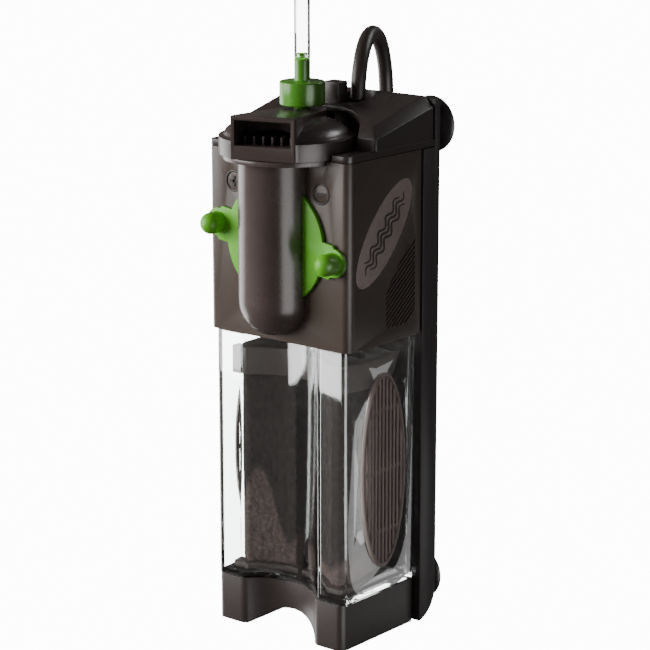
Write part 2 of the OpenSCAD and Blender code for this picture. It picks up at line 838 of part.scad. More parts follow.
module air_intake() {
    color("#4a4441") at_cap() translate([0, collar_back, 0]) difference() {
        union() {
            translate([0, 0, tube_top - 6]) cylinder(r = nipple_r, h = 8);
            translate([0, 0, tube_top]) cylinder(r = 4.6, h = 8);
            translate([0, 0, tube_top + 8]) cylinder(r1 = 4.6, r2 = 3.4, h = 1.4);
        }
        translate([0, 0, tube_top - 7]) cylinder(r = 1, h = 14);
        for (a = [0 : 60 : 300]) rotate([0, 0, a])
            translate([0, 0, tube_top + 5]) rotate([0, 90, 0]) cylinder(r = 0.8, h = 6);
    }
}

// ---- Mains cord ----

module cord_gland() {
    flange_z = lid_z + 5;
    color("#2b2423") translate([gland_at[0], gland_at[1], 0]) {
        translate([0, 0, gland_low]) cylinder(r = gland_r, h = flange_z - gland_low);
        translate([0, 0, flange_z]) cylinder(r = 6, h = 1.6);
        translate([0, 0, flange_z + 1.6]) cylinder(r1 = 4.8, r2 = 3.4, h = gland_top - flange_z - 1.6);
    }
}

module cord_run() {
    color("#2d2423") swept_tube(run_route, cord_r, [0.93, 0.36, 0]);
}

module cord_coil() {
    color("#2d2423") translate([coil_at[0], coil_at[1], 0]) rotate_extrude() difference() {
        translate([coil_in, 0]) square([coil_out - coil_in, coil_h]);
        for (x = [coil_in, coil_out], z = [0, coil_h])
            translate([x, z]) rotate(45) square([1.6, 1.6], center = true);
    }
}

module cord_lead() {
    color("#2d2423") swept_tube(concat(lead_climb, lead_end), cord_r, [0, 0, 1]);
}

module coil_tie() {
    wide = coil_out - coil_in;
    wall = 1.2;
    color("#1d1a1a") translate([coil_at[0], coil_at[1], 0]) rotate([0, 0, 185])
        translate([coil_in, -2, 0]) difference() {
            translate([-wall, 0, 0]) cube([wide + 2 * wall, 4, coil_h + wall]);
            translate([0, -1, wall / 2]) cube([wide, 6, coil_h - wall / 2]);
        }
}

module at_plug() {
    translate(plug_at) rotate([0, 0, plug_turn]) children();
}

module plug_body() {
    color("#262120") at_plug() {
        rotate([0, 90, 0]) cylinder(r1 = 3.6, r2 = 5, h = relief_l);
        translate([relief_l + plug_l, 0, 0]) rotate([0, -90, 0]) linear_extrude(height = plug_l)
            union() {
                square([plug_t - 2, plug_w - 6], center = true);
                for (s = [-1, 1]) translate([0, s * (plug_w / 2 - 7)]) circle(plug_t / 2 - 0.01);
                translate([-plug_t / 2, -plug_w / 2 + 7]) square([plug_t, plug_w - 14]);
            }
    }
}

module plug_pins() {
    color("#c8b98a") at_plug() for (s = [-1, 1])
        translate([relief_l + plug_l, s * pin_gap / 2, 0]) rotate([0, 90, 0])
            cylinder(r = pin_r, h = pin_l);
}

base_tray();
filter_container();
intake_grille_left();
intake_grille_right();
cartridge_frame_left();
cartridge_frame_right();
foam_left();
foam_right();
wall_bracket();
suction_cup_top_left();
suction_cup_top_right();
suction_cup_bottom_left();
suction_cup_bottom_right();
pump_housing();
lid();
lid_block();
badge_left();
badge_right();
flow_mark_plus();
flow_mark_minus();
outlet_duct();
motor_block();
pump_cover();
pump_seal();
container_seal();
valve_seal();
shaft_bush_top();
shaft_bush_bottom();
impeller_shaft();
housing_screws();
impeller();
rotor_magnet();
flow_lever();
nozzle();
nozzle_fins();
nozzle_seal();
air_regulator();
air_tube();
air_intake();
cord_gland();
cord_run();
cord_coil();
cord_lead();
coil_tie();
plug_body();
plug_pins();
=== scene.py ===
"""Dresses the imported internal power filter: finishes, foam, clear walls, mains cord and a studio."""

import json
import math

import bmesh
import bpy
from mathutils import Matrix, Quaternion, Vector, noise


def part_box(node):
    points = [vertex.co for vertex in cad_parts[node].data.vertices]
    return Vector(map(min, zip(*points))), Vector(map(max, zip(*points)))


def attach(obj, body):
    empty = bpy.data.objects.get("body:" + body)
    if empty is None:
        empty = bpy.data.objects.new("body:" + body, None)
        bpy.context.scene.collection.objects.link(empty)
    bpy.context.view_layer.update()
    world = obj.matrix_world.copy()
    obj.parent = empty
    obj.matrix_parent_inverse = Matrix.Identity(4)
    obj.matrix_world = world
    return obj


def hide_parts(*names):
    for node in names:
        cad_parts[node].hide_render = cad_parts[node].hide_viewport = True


bl_info = {
    "name": "Internal Power Filter",
    "version": (1, 0, 0),
    "blender": (4, 5, 0),
    "location": "3D View > Sidebar > Filter",
    "description": "Builds the finished pieces of an internal power filter around its frame",
    "category": "Object",
}

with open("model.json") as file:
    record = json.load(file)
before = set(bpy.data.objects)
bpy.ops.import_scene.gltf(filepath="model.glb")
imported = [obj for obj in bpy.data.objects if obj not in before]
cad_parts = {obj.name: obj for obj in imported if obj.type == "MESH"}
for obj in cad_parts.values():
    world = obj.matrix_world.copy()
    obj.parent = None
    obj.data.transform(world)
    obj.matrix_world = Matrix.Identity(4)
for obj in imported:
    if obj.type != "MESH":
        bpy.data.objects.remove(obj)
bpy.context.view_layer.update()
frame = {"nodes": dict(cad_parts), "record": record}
MM = 0.001
LIT_HEIGHT = 0.12  # the height that the lights face

# The mains cord's route from the gland to the coil, and from the coil to the plug, in millimetres.
GLAND_AT = Vector((3, 24))
HANG_AT = Vector((-17, 67))
GLAND_TOP = 203
LOOP_RISE = 25.4
LOOP_DROP = 5  # how much lower the arch comes down than it starts
HANG_HEIGHTS = range(180, 59, -20)
COIL_AT = Vector((-59, 82))
RUN_END = [
    (-17, 67, 42), (-17, 67, 28), (-17.1, 68.8, 18.4), (-18.3, 74, 10.3),
    (-20.6, 81.9, 4.9), (-23.2, 91.1, 3),
]
LEAD_ROUTE = [
    (-24.2, 69.3, 15), (-23.3, 74, 15.6), (-23.2, 79, 16.2), (-23.9, 84, 16.7),
    (-25, 88.5, 17), (-27.5, 92.6, 17.9), (-30.8, 96.3, 18.5), (-34.8, 99.4, 18.9),
    (-39, 101.4, 19),
]


# ---- Settings ----


class FilterFinish(bpy.types.PropertyGroup):
    """Colours of the filter's finishes."""

    shell: bpy.props.FloatVectorProperty(
        name="Shell", description="Pump head casing", subtype="COLOR", size=3,
        default=(0.108, 0.078, 0.062),
    )
    duct: bpy.props.FloatVectorProperty(
        name="Duct", description="Outlet duct down the front", subtype="COLOR", size=3,
        default=(0.125, 0.092, 0.085),
    )
    dark: bpy.props.FloatVectorProperty(
        name="Dark", description="Lid, nozzle and foot tray", subtype="COLOR", size=3,
        default=(0.060, 0.045, 0.042),
    )
    black: bpy.props.FloatVectorProperty(
        name="Black", description="Wall bracket and fins", subtype="COLOR", size=3,
        default=(0.028, 0.022, 0.021),
    )
    inner: bpy.props.FloatVectorProperty(
        name="Inner", description="Intake grilles", subtype="COLOR", size=3,
        default=(0.420, 0.345, 0.320),
    )
    green: bpy.props.FloatVectorProperty(
        name="Green", description="Flow lever and air collar", subtype="COLOR", size=3,
        default=(0.180, 0.660, 0.025),
    )
    badge: bpy.props.FloatVectorProperty(
        name="Badge", description="Oval side badges", subtype="COLOR", size=3,
        default=(0.600, 0.500, 0.470),
    )
    foam: bpy.props.FloatVectorProperty(
        name="Foam", description="Filter foam", subtype="COLOR", size=3,
        default=(0.052, 0.034, 0.031),
    )


class FilterFoam(bpy.types.PropertyGroup):
    """How coarse the filter foam is."""

    voxel: bpy.props.FloatProperty(
        name="Grid", description="Size of the foam's surface grid", unit="LENGTH",
        default=0.0008, min=0.0004, max=0.002, precision=5,
    )
    cell: bpy.props.FloatProperty(
        name="Cell", description="Width of an open cell", unit="LENGTH",
        default=0.0022, min=0.001, max=0.005, precision=5,
    )
    depth: bpy.props.FloatProperty(
        name="Depth", description="How deep the cells are pressed in", unit="LENGTH",
        default=0.0007, min=0.0, max=0.002, precision=5,
    )


class FilterCord(bpy.types.PropertyGroup):
    """The mains cord."""

    diameter: bpy.props.FloatProperty(
        name="Diameter", description="Outside diameter of the cord", unit="LENGTH",
        default=0.006, min=0.005, max=0.008, precision=4,
    )
    outer_turn: bpy.props.FloatProperty(
        name="Outer turn", description="Radius of the coil's widest turn", unit="LENGTH",
        default=0.037, min=0.03, max=0.045, precision=4,
    )


class FilterStudio(bpy.types.PropertyGroup):
    """Where the camera stands and how the studio is lit."""

    azimuth: bpy.props.FloatProperty(
        name="Azimuth", description="Angle of the camera to the right of the front",
        subtype="ANGLE", unit="ROTATION", default=math.radians(39.5),
    )
    elevation: bpy.props.FloatProperty(
        name="Elevation", description="Angle of the camera above the horizon",
        subtype="ANGLE", unit="ROTATION", default=math.radians(13.9),
    )
    distance: bpy.props.FloatProperty(
        name="Distance", description="From the camera to the point it looks at", unit="LENGTH",
        default=0.919,
    )
    focal: bpy.props.FloatProperty(
        name="Focal length", description="Focal length in millimetres", default=132.9,
    )
    aim_height: bpy.props.FloatProperty(
        name="Aim height", description="Height of the point that the camera looks at",
        unit="LENGTH", default=0.1183, precision=4,
    )
    aim_right: bpy.props.FloatProperty(
        name="Aim right", description="How far that point lies to the camera's right",
        unit="LENGTH", default=0.0019, precision=4,
    )
    aim_back: bpy.props.FloatProperty(
        name="Aim back", description="How far that point lies behind the origin",
        unit="LENGTH", default=0.005, precision=4,
    )
    backdrop: bpy.props.FloatProperty(
        name="Backdrop", description="Brightness of the backdrop", default=1.0, min=0.0,
    )


# ---- Materials ----


def node_material(name):
    made = bpy.data.materials.new(name)
    made.use_nodes = True
    return made, made.node_tree.nodes, made.node_tree.links


def object_noise(nodes, links, scale, detail=3.0, kind="ShaderNodeTexNoise"):
    """A noise or cell texture that follows the object's own coordinates."""
    place = nodes.new("ShaderNodeTexCoord")
    texture = nodes.new(kind)
    texture.inputs["Scale"].default_value = scale
    if "Detail" in texture.inputs:
        texture.inputs["Detail"].default_value = detail
    links.new(place.outputs["Object"], texture.inputs["Vector"])
    return texture


def ramp_between(nodes, links, source, low, high, first, last):
    """A colour ramp from first to last as the source goes from low to high."""
    ramp = nodes.new("ShaderNodeValToRGB")
    ramp.color_ramp.elements[0].position = low
    ramp.color_ramp.elements[1].position = high
    ramp.color_ramp.elements[0].color = (*first, 1)
    ramp.color_ramp.elements[1].color = (*last, 1)
    links.new(source, ramp.inputs["Fac"])
    return ramp


def range_between(nodes, links, source, low, high):
    spread = nodes.new("ShaderNodeMapRange")
    spread.inputs["To Min"].default_value = low
    spread.inputs["To Max"].default_value = high
    links.new(source, spread.inputs["Value"])
    return spread


def scaled(colour, by):
    return tuple(min(1.0, c * by) for c in colour)


def moulded(name, colour, rough=0.45, grain=1400.0, bump=0.12, vary=0.10, coat=0.0):
    """Moulded plastic: a fine spark-eroded grain, a little drift in colour and gloss."""
    made, nodes, links = node_material(name)
    shader = nodes["Principled BSDF"]
    drift = object_noise(nodes, links, 38.0, 4.0)
    tint = ramp_between(
        nodes, links, drift.outputs["Fac"], 0.3, 0.7, scaled(colour, 1 - vary), scaled(colour, 1 + vary)
    )
    links.new(tint.outputs["Color"], shader.inputs["Base Color"])
    gloss = range_between(nodes, links, drift.outputs["Fac"], rough - 0.06, rough + 0.06)
    links.new(gloss.outputs["Result"], shader.inputs["Roughness"])
    pits = object_noise(nodes, links, grain, 2.0)
    relief = nodes.new("ShaderNodeBump")
    relief.inputs["Strength"].default_value = bump
    relief.inputs["Distance"].default_value = 0.0002
    links.new(pits.outputs["Fac"], relief.inputs["Height"])
    links.new(relief.outputs["Normal"], shader.inputs["Normal"])
    shader.inputs["Coat Weight"].default_value = coat
    shader.inputs["Coat Roughness"].default_value = 0.12
    return made


def clear_plastic(name, colour, rough=0.02, wave=30.0, wave_depth=0.02, coat=1.0):
    """Clear moulded plastic with the slight waviness of a moulded wall."""
    made, nodes, links = node_material(name)
    shader = nodes["Principled BSDF"]
    shader.inputs["Transmission Weight"].default_value = 1.0
    shader.inputs["IOR"].default_value = 1.45
    shader.inputs["Coat Weight"].default_value = coat
    shader.inputs["Coat IOR"].default_value = 1.6
    shader.inputs["Coat Roughness"].default_value = 0.04
    swirl = object_noise(nodes, links, wave, 2.0)
    tint = ramp_between(nodes, links, swirl.outputs["Fac"], 0.3, 0.7, scaled(colour, 0.99), colour)
    links.new(tint.outputs["Color"], shader.inputs["Base Color"])
    gloss = range_between(nodes, links, swirl.outputs["Fac"], rough * 0.5, rough * 1.5)
    links.new(gloss.outputs["Result"], shader.inputs["Roughness"])
    relief = nodes.new("ShaderNodeBump")
    relief.inputs["Strength"].default_value = wave_depth
    relief.inputs["Distance"].default_value = 0.001
    links.new(swirl.outputs["Fac"], relief.inputs["Height"])
    links.new(relief.outputs["Normal"], shader.inputs["Normal"])
    return made


def foam_material(name, colour, cell):
    """Open-cell foam: pale strut tops over cells darkened with painted shade, with speckled light
    struts.
    """
    made, nodes, links = node_material(name)
    shader = nodes["Principled BSDF"]
    cells = object_noise(nodes, links, 1 / cell, kind="ShaderNodeTexVoronoi")
    cells.feature = "DISTANCE_TO_EDGE"
    # painted shade: the colour darkens from the struts towards the middle of each cell, as shade in the
    # cell hollows
    struts_and_cell_shade = ramp_between(
        nodes, links, cells.outputs["Distance"], 0.0, 0.32, scaled(colour, 2.6), scaled(colour, 0.25)
    )
    speck = object_noise(nodes, links, 900.0, 3.0)
    # lighter specks at random over the foam
    light_speckle = ramp_between(
        nodes, links, speck.outputs["Fac"], 0.45, 0.72, scaled(colour, 0.8), scaled(colour, 3.4)
    )
    mixed = nodes.new("ShaderNodeMix")
    mixed.data_type = "RGBA"
    mixed.inputs["Factor"].default_value = 0.4
    links.new(struts_and_cell_shade.outputs["Color"], mixed.inputs["A"])
    links.new(light_speckle.outputs["Color"], mixed.inputs["B"])
    # the foam's colour is darker above a pointed, wavy line and stays pale below it
    darkened_above_line = nodes.new("ShaderNodeMix")
    darkened_above_line.data_type = "RGBA"
    darkened_above_line.blend_type = "MULTIPLY"
    darkened_above_line.inputs["Factor"].default_value = 1.0
    upper_darkening = darker_above_wavy_line(nodes, links)
    links.new(mixed.outputs["Result"], darkened_above_line.inputs["A"])
    links.new(upper_darkening.outputs["Color"], darkened_above_line.inputs["B"])
    links.new(darkened_above_line.outputs["Result"], shader.inputs["Base Color"])
    shader.inputs["Roughness"].default_value = 0.85
    relief = nodes.new("ShaderNodeBump")
    relief.inputs["Strength"].default_value = 0.8
    relief.inputs["Distance"].default_value = 0.0006
    links.new(cells.outputs["Distance"], relief.inputs["Height"])
    relief.invert = True
    links.new(relief.outputs["Normal"], shader.inputs["Normal"])
    return made


def darker_above_wavy_line(nodes, links):
    """Darkens the foam above a pointed, wavy line; below it the foam stays pale."""
    def step(operation, first, second):
        made = nodes.new("ShaderNodeMath")
        made.operation = operation
        for socket, value in zip(made.inputs, (first, second)):
            if isinstance(value, (int, float)):
                socket.default_value = value
            else:
                links.new(value, socket)
        return made.outputs[0]

    def across(low, high):
        made = range_between(nodes, links, parts.outputs["X"], low, high)
        made.inputs["From Min"].default_value = -2 * MM
        made.inputs["From Max"].default_value = 2 * MM
        return made.outputs["Result"]

    place = nodes.new("ShaderNodeTexCoord")
    parts = nodes.new("ShaderNodeSeparateXYZ")
    links.new(place.outputs["Object"], parts.inputs[0])
    turn = step("MULTIPLY", step("ADD", parts.outputs["X"], 18 * MM), math.tau / (23 * MM))
    wave = step("MULTIPLY", step("COSINE", turn, 0.0), across(15 * MM, 3 * MM))
    line = step("ADD", wave, across(46 * MM, 30 * MM))
    above = step("DIVIDE", step("SUBTRACT", parts.outputs["Z"], line), 5 * MM)
    return ramp_between(
        nodes, links, step("ADD", above, 0.5), 0.1, 0.9, (1.0, 1.0, 1.0), (0.16, 0.14, 0.14)
    )


def metal(name, colour, rough):
    """Drawn metal with fine lengthwise scratches."""
    made, nodes, links = node_material(name)
    shader = nodes["Principled BSDF"]
    shader.inputs["Metallic"].default_value = 1.0
    marks = object_noise(nodes, links, 700.0, 4.0)
    tint = ramp_between(nodes, links, marks.outputs["Fac"], 0.3, 0.7, scaled(colour, 0.85), colour)
    links.new(tint.outputs["Color"], shader.inputs["Base Color"])
    gloss = range_between(nodes, links, marks.outputs["Fac"], rough - 0.08, rough + 0.08)
    links.new(gloss.outputs["Result"], shader.inputs["Roughness"])
    return made


# ---- Mesh helpers ----


def linked(name, mesh):
    made = bpy.data.objects.new(name, mesh)
    bpy.context.scene.collection.objects.link(made)
    return made


def applied(piece):
    """The piece's modifiers made into its mesh."""
    graph = bpy.context.evaluated_depsgraph_get()
    mesh = bpy.data.meshes.new_from_object(piece.evaluated_get(graph))
    piece.modifiers.clear()
    piece.data = mesh
    return piece


def merged_copy(node, name):
    """A copy of a CAD node in one mesh, with the corners of its loose triangles merged."""
    mesh = frame["nodes"][node].data.copy()
    made = linked(name, mesh)
    work = bmesh.new()
    work.from_mesh(mesh)
    bmesh.ops.remove_doubles(work, verts=work.verts, dist=1e-6)
    work.to_mesh(mesh)
    work.free()
    mesh.materials.clear()
    return made


def softened(node, finish, width, segments=2, angle=32.0):
    """A CAD node redrawn with rounded edges and smooth curves, in its own finish."""
    made = merged_copy(node, f"{node}_finished")
    made.data.materials.append(finish)
    bevel = made.modifiers.new("edges", "BEVEL")
    bevel.width = width
    bevel.segments = segments
    bevel.limit_method = "ANGLE"
    bevel.angle_limit = math.radians(angle)
    bevel.use_clamp_overlap = True
    bevel.miter_outer = "MITER_ARC"
    applied(made)
    made.data.shade_smooth()
    made.data.set_sharp_from_angle(angle=math.radians(angle))
    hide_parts(node)
    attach(made, body_of(node))
    return made


def body_of(node):
    for body, members in frame["record"]["behaviour"]["bodies"].items():
        if node in members:
            return body
    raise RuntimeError(f"no body holds {node}")


def painted(node, finish):
    """A CAD node kept as it is, with its finish."""
    mesh = frame["nodes"][node].data
    mesh.materials.clear()
    mesh.materials.append(finish)
    return frame["nodes"][node]


# ---- Geometry Nodes helpers ----


class Tree:
    """A small geometry node tree with named inputs."""

    def __init__(self, name):
        self.group = bpy.data.node_groups.new(name, "GeometryNodeTree")
        self.group.interface.new_socket(
            "Geometry", in_out="OUTPUT", socket_type="NodeSocketGeometry"
        )
        self.sockets = {}
        self.entry = self.group.nodes.new("NodeGroupInput")
        self.exit = self.group.nodes.new("NodeGroupOutput")

    def size(self, name, default, kind="NodeSocketFloat"):
        socket = self.group.interface.new_socket(name, in_out="INPUT", socket_type=kind)
        if kind != "NodeSocketMaterial":
            socket.default_value = default
        self.sockets[name] = (socket.identifier, default)
        return self.entry.outputs[name]

    def add(self, kind, **settings):
        made = self.group.nodes.new(kind)
        for name, value in settings.items():
            setattr(made, name, value)
        return made

    def join(self, source, target):
        self.group.links.new(source, target)

    def math(self, operation, first, second=0.0):
        made = self.add("ShaderNodeMath", operation=operation)
        for socket, value in zip(made.inputs, (first, second)):
            if isinstance(value, (int, float)):
                socket.default_value = value
            else:
                self.join(value, socket)
        return made.outputs[0]

    def vector(self, x=0.0, y=0.0, z=0.0):
        made = self.add("ShaderNodeCombineXYZ")
        for socket, value in zip(made.inputs, (x, y, z)):
            if isinstance(value, (int, float)):
                socket.default_value = value
            else:
                self.join(value, socket)
        return made.outputs[0]

    def finish(self, geometry, finish):
        real = self.add("GeometryNodeRealizeInstances")
        paint = self.add("GeometryNodeSetMaterial")
        self.join(geometry, real.inputs["Geometry"])
        self.join(real.outputs["Geometry"], paint.inputs["Geometry"])
        self.join(finish, paint.inputs["Material"])
        self.join(paint.outputs["Geometry"], self.exit.inputs["Geometry"])

    def piece(self, name):
        """Runs the tree once and keeps its result as a plain mesh."""
        made = linked(name, bpy.data.meshes.new(name))
        modifier = made.modifiers.new("build", "NODES")
        modifier.node_group = self.group
        for identifier, value in self.sockets.values():
            modifier[identifier] = value
        return applied(made)


def moved(piece, place):
    """Puts a piece in its place, and keeps that in its mesh."""
    work = bmesh.new()
    work.from_mesh(piece.data)
    for vert in work.verts:
        vert.co = [was + by for was, by in zip(vert.co, place)]
    work.to_mesh(piece.data)
    work.free()
    return piece


# ---- Operators ----


class FILTER_OT_studio(bpy.types.Operator):
    """Camera, backdrop, floor and lights"""

    bl_idname = "filter.studio"
    bl_label = "Studio"

    def execute(self, context):
        studio = context.scene.filter_studio
        self.camera(context, studio)
        self.world(context, studio)
        self.floor(studio)
        self.light("key", 46.0, 14.0, 2.4, (2.0, 1.6), 74.0)
        self.light("ridge_panel", -160.0, 38.0, 1.5, (0.8, 0.35), 6.0, sheen_only=True)
        self.light("left_panel", 92.0, -12.0, 1.7, (1.1, 1.4), 20.0, sheen_only=True)
        self.light("right_panel", -80.0, -12.0, 1.8, (1.2, 1.5), 26.0, sheen_only=True)
        self.light(
            "rear_panel", -142.7, -32.2, 0.287, (0.12, 0.08), 0.035, sheen_only=True, roll=61.0
        )
        return {"FINISHED"}

    def camera(self, context, studio):
        lens = bpy.data.cameras.new("camera")
        lens.lens = studio.focal
        lens.sensor_width = 36
        eye = bpy.data.objects.new("camera", lens)
        context.scene.collection.objects.link(eye)
        a, e = studio.azimuth, studio.elevation
        right = Vector((math.cos(a), math.sin(a), 0))
        back = Vector((math.sin(a) * math.cos(e), -math.cos(a) * math.cos(e), math.sin(e)))
        aim = Vector((0, studio.aim_back, studio.aim_height)) + right * studio.aim_right
        eye.location = aim + back * studio.distance
        eye.rotation_euler = (-back).to_track_quat("-Z", "Y").to_euler()
        context.scene.camera = eye

    def world(self, context, studio):
        sky = bpy.data.worlds.new("studio")
        context.scene.world = sky
        sky.use_nodes = True
        nodes, links = sky.node_tree.nodes, sky.node_tree.links
        nodes.clear()
        seen = self.seen_straight(nodes, links)
        soft = nodes.new("ShaderNodeBackground")
        soft.inputs["Color"].default_value = (1.0, 0.9, 0.88, 1)
        soft.inputs["Strength"].default_value = 0.10
        bright = nodes.new("ShaderNodeBackground")
        bright.inputs["Color"].default_value = (1, 1, 1, 1)
        bright.inputs["Strength"].default_value = 14.0 * studio.backdrop
        mixed = nodes.new("ShaderNodeMixShader")
        out = nodes.new("ShaderNodeOutputWorld")
        links.new(seen, mixed.inputs["Fac"])
        links.new(soft.outputs[0], mixed.inputs[1])
        links.new(bright.outputs[0], mixed.inputs[2])
        links.new(mixed.outputs[0], out.inputs["Surface"])

    def seen_straight(self, nodes, links):
        """1 where the camera sees the backdrop, straight or through clear plastic; 0 for other light."""
        ray = nodes.new("ShaderNodeLightPath")
        clear = nodes.new("ShaderNodeMath")
        clear.operation = "MAXIMUM"
        links.new(ray.outputs["Is Camera Ray"], clear.inputs[0])
        links.new(ray.outputs["Is Transmission Ray"], clear.inputs[1])
        first = nodes.new("ShaderNodeMath")
        first.operation = "LESS_THAN"
        first.inputs[1].default_value = 0.5
        turned = nodes.new("ShaderNodeMath")
        turned.operation = "ADD"
        links.new(ray.outputs["Diffuse Depth"], turned.inputs[0])
        links.new(ray.outputs["Glossy Depth"], turned.inputs[1])
        links.new(turned.outputs[0], first.inputs[0])
        both = nodes.new("ShaderNodeMath")
        both.operation = "MULTIPLY"
        links.new(clear.outputs[0], both.inputs[0])
        links.new(first.outputs[0], both.inputs[1])
        return both.outputs[0]

    def floor(self, studio):
        paint, nodes, links = node_material("floor")
        nodes.clear()
        matt = nodes.new("ShaderNodeBsdfDiffuse")
        matt.inputs["Color"].default_value = (0.30, 0.29, 0.29, 1)
        glow = nodes.new("ShaderNodeEmission")
        glow.inputs["Strength"].default_value = 16.0 * studio.backdrop
        seen = self.seen_straight(nodes, links)
        part = nodes.new("ShaderNodeMath")
        part.operation = "MULTIPLY"
        part.inputs[1].default_value = 0.85
        links.new(seen, part.inputs[0])
        mixed = nodes.new("ShaderNodeMixShader")
        out = nodes.new("ShaderNodeOutputMaterial")
        links.new(part.outputs[0], mixed.inputs["Fac"])
        links.new(matt.outputs[0], mixed.inputs[1])
        links.new(glow.outputs[0], mixed.inputs[2])
        links.new(mixed.outputs[0], out.inputs["Surface"])
        reach, level = 9, -0.0002
        corners = [
            (-reach, -reach, level), (reach, -reach, level),
            (reach, reach, level), (-reach, reach, level),
        ]
        mesh = bpy.data.meshes.new("floor")
        mesh.from_pydata(corners, [], [(0, 1, 2, 3)])
        mesh.materials.append(paint)
        made = linked("floor", mesh)
        made.visible_glossy = False
        made.visible_transmission = False
        made.visible_shadow = False

    def light(self, name, azimuth, elevation, distance, size, power, sheen_only=False, roll=0.0):
        """An area light that faces the filter; azimuth counts from the front to the left.

        One that is sheen_only shows in glossy reflections and adds no diffuse light.
        """
        lamp = bpy.data.lights.new(name, "AREA")
        lamp.shape = "RECTANGLE"
        lamp.size, lamp.size_y = size
        lamp.energy = power
        holder = bpy.data.objects.new(name, lamp)
        holder.visible_diffuse = not sheen_only
        bpy.context.scene.collection.objects.link(holder)
        a, e = math.radians(azimuth), math.radians(elevation)
        way = Vector((-math.sin(a) * math.cos(e), -math.cos(a) * math.cos(e), math.sin(e)))
        holder.location = Vector((0, 0, LIT_HEIGHT)) + way * distance
        facing = (-way).to_track_quat("-Z", "Y")
        holder.rotation_euler = (facing @ Quaternion((0, 0, 1), math.radians(roll))).to_euler()


class FILTER_OT_cord(bpy.types.Operator):
    """The mains cord from the gland through its coil to the plug, with its gland, tie and plug"""

    bl_idname = "filter.cord"
    bl_label = "Mains cord"

    def execute(self, context):
        size = context.scene.filter_cord
        points = self.run()
        points += self.coil(size)
        points += [Vector(p) * MM for p in LEAD_ROUTE]
        points = self.rounded(points)
        sheath = moulded("cord_sheath", (0.050, 0.036, 0.031), 0.42, 2200.0, 0.10, 0.12)
        line = bpy.data.curves.new("mains_cord", "CURVE")
        line.dimensions = "3D"
        line.bevel_depth = size.diameter / 2
        line.bevel_resolution = 4
        line.use_fill_caps = True
        strand = line.splines.new("POLY")
        strand.points.add(len(points) - 1)
        for place, point in zip(strand.points, points):
            place.co = (*point, 1)
        line.materials.append(sheath)
        cord = linked("mains_cord", line)
        for spline in line.splines:
            spline.use_smooth = True
        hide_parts("cord_run", "cord_coil", "cord_lead")
        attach(cord, "pump_head")
        rubber = moulded("seal_rubber", (0.016, 0.014, 0.014), 0.6, 1600.0, 0.15, 0.15)
        moulding = moulded("plug_plastic", (0.020, 0.017, 0.016), 0.4, 1800.0, 0.15, 0.1)
        gland = softened("cord_gland", rubber, 0.3 * MM)
        tie = softened("coil_tie", rubber, 0.25 * MM)
        plug = softened("plug_body", moulding, 1.0 * MM, 3)
        pins = softened("plug_pins", metal("pin_brass", (0.62, 0.50, 0.30), 0.28), 0.5 * MM)
        return {"FINISHED"}

    def run(self):
        """Over the back in one arch, down behind the filter, and out to the coil."""
        made = []
        for angle in range(0, 181, 15):
            turn = math.radians(angle)
            place = GLAND_AT.lerp(HANG_AT, (1 - math.cos(turn)) / 2)
            rise = LOOP_RISE * math.sin(turn) - LOOP_DROP * eased(angle / 180)
            made.append((*place, GLAND_TOP + rise))
        made += [(*HANG_AT, height) for height in HANG_HEIGHTS]
        return [Vector(p) * MM for p in made + RUN_END]

    def coil(self, size):
        """The coil's turns: two layers side by side, the second on the first, and a climb on top."""
        middle = COIL_AT * MM
        start, end, whole_turns, steps_a_turn = 14.3, 340.0, 5, 36
        pitch = size.diameter
        turns = whole_turns + (end - start) / 360
        steps = int(turns * steps_a_turn)
        # Where each change of lane or layer starts, in turns, and the part of a turn that it takes.
        inward_at, inward_over = (0.75, 1.75), 0.18
        outward_at, outward_over = (3.61, 4.61), 0.20
        climb_at, climb_over = (2.67, 5.55), 0.20
        made = []
        for step in range(1, steps):
            turn = turns * step / steps
            inward = sum(eased((turn - t) / inward_over) for t in inward_at)
            outward = sum(eased((turn - t) / outward_over) for t in outward_at)
            risen = sum(eased((turn - t) / climb_over) for t in climb_at)
            radius = size.outer_turn - pitch * (inward - outward)
            angle = math.radians(start + 360 * turn)
            made.append(Vector((
                middle.x + radius * math.cos(angle),
                middle.y + radius * math.sin(angle),
                pitch / 2 + pitch * risen,
            )))
        return made

    def rounded(self, points):
        """The same route with points no further apart than a few millimetres, on one smooth curve."""
        made = []
        for i in range(len(points) - 1):
            before, first = points[max(i - 1, 0)], points[i]
            last, after = points[i + 1], points[min(i + 2, len(points) - 1)]
            parts = max(1, round((last - first).length / (3 * MM)))
            for part in range(parts):
                t = part / parts
                made.append(0.5 * (
                    2 * first + (last - before) * t
                    + (2 * before - 5 * first + 4 * last - after) * t * t
                    + (3 * first - before - 3 * last + after) * t * t * t
                ))
        made.append(points[-1])
        return made


def eased(part):
    """A smooth step from 0 to 1 as the part goes from 0 to 1."""
    part = max(0.0, min(1.0, part))
    return part * part * (3 - 2 * part)


class FILTER_OT_canister(bpy.types.Operator):
    """Foot tray, clear container, wall bracket and suction cups"""

    bl_idname = "filter.canister"
    bl_label = "Canister"

    def execute(self, context):
        finish = context.scene.filter_finish
        tray = softened("base_tray", moulded("tray_plastic", finish.dark), 0.6 * MM, 3)
        bracket = softened("wall_bracket", moulded("bracket_plastic", finish.black), 0.5 * MM)
        clear = clear_plastic("clear_wall", (0.93, 0.97, 0.95))
        can = softened("filter_container", clear, 0.25 * MM, 2, 40.0)
        can.visible_shadow = False
        rubber = moulded("cup_rubber", (0.040, 0.034, 0.033), 0.35, 500.0, 0.05, 0.1)
        for end in ("top_left", "top_right", "bottom_left", "bottom_right"):
            cup = softened(f"suction_cup_{end}", rubber, 0.25 * MM)
        return {"FINISHED"}


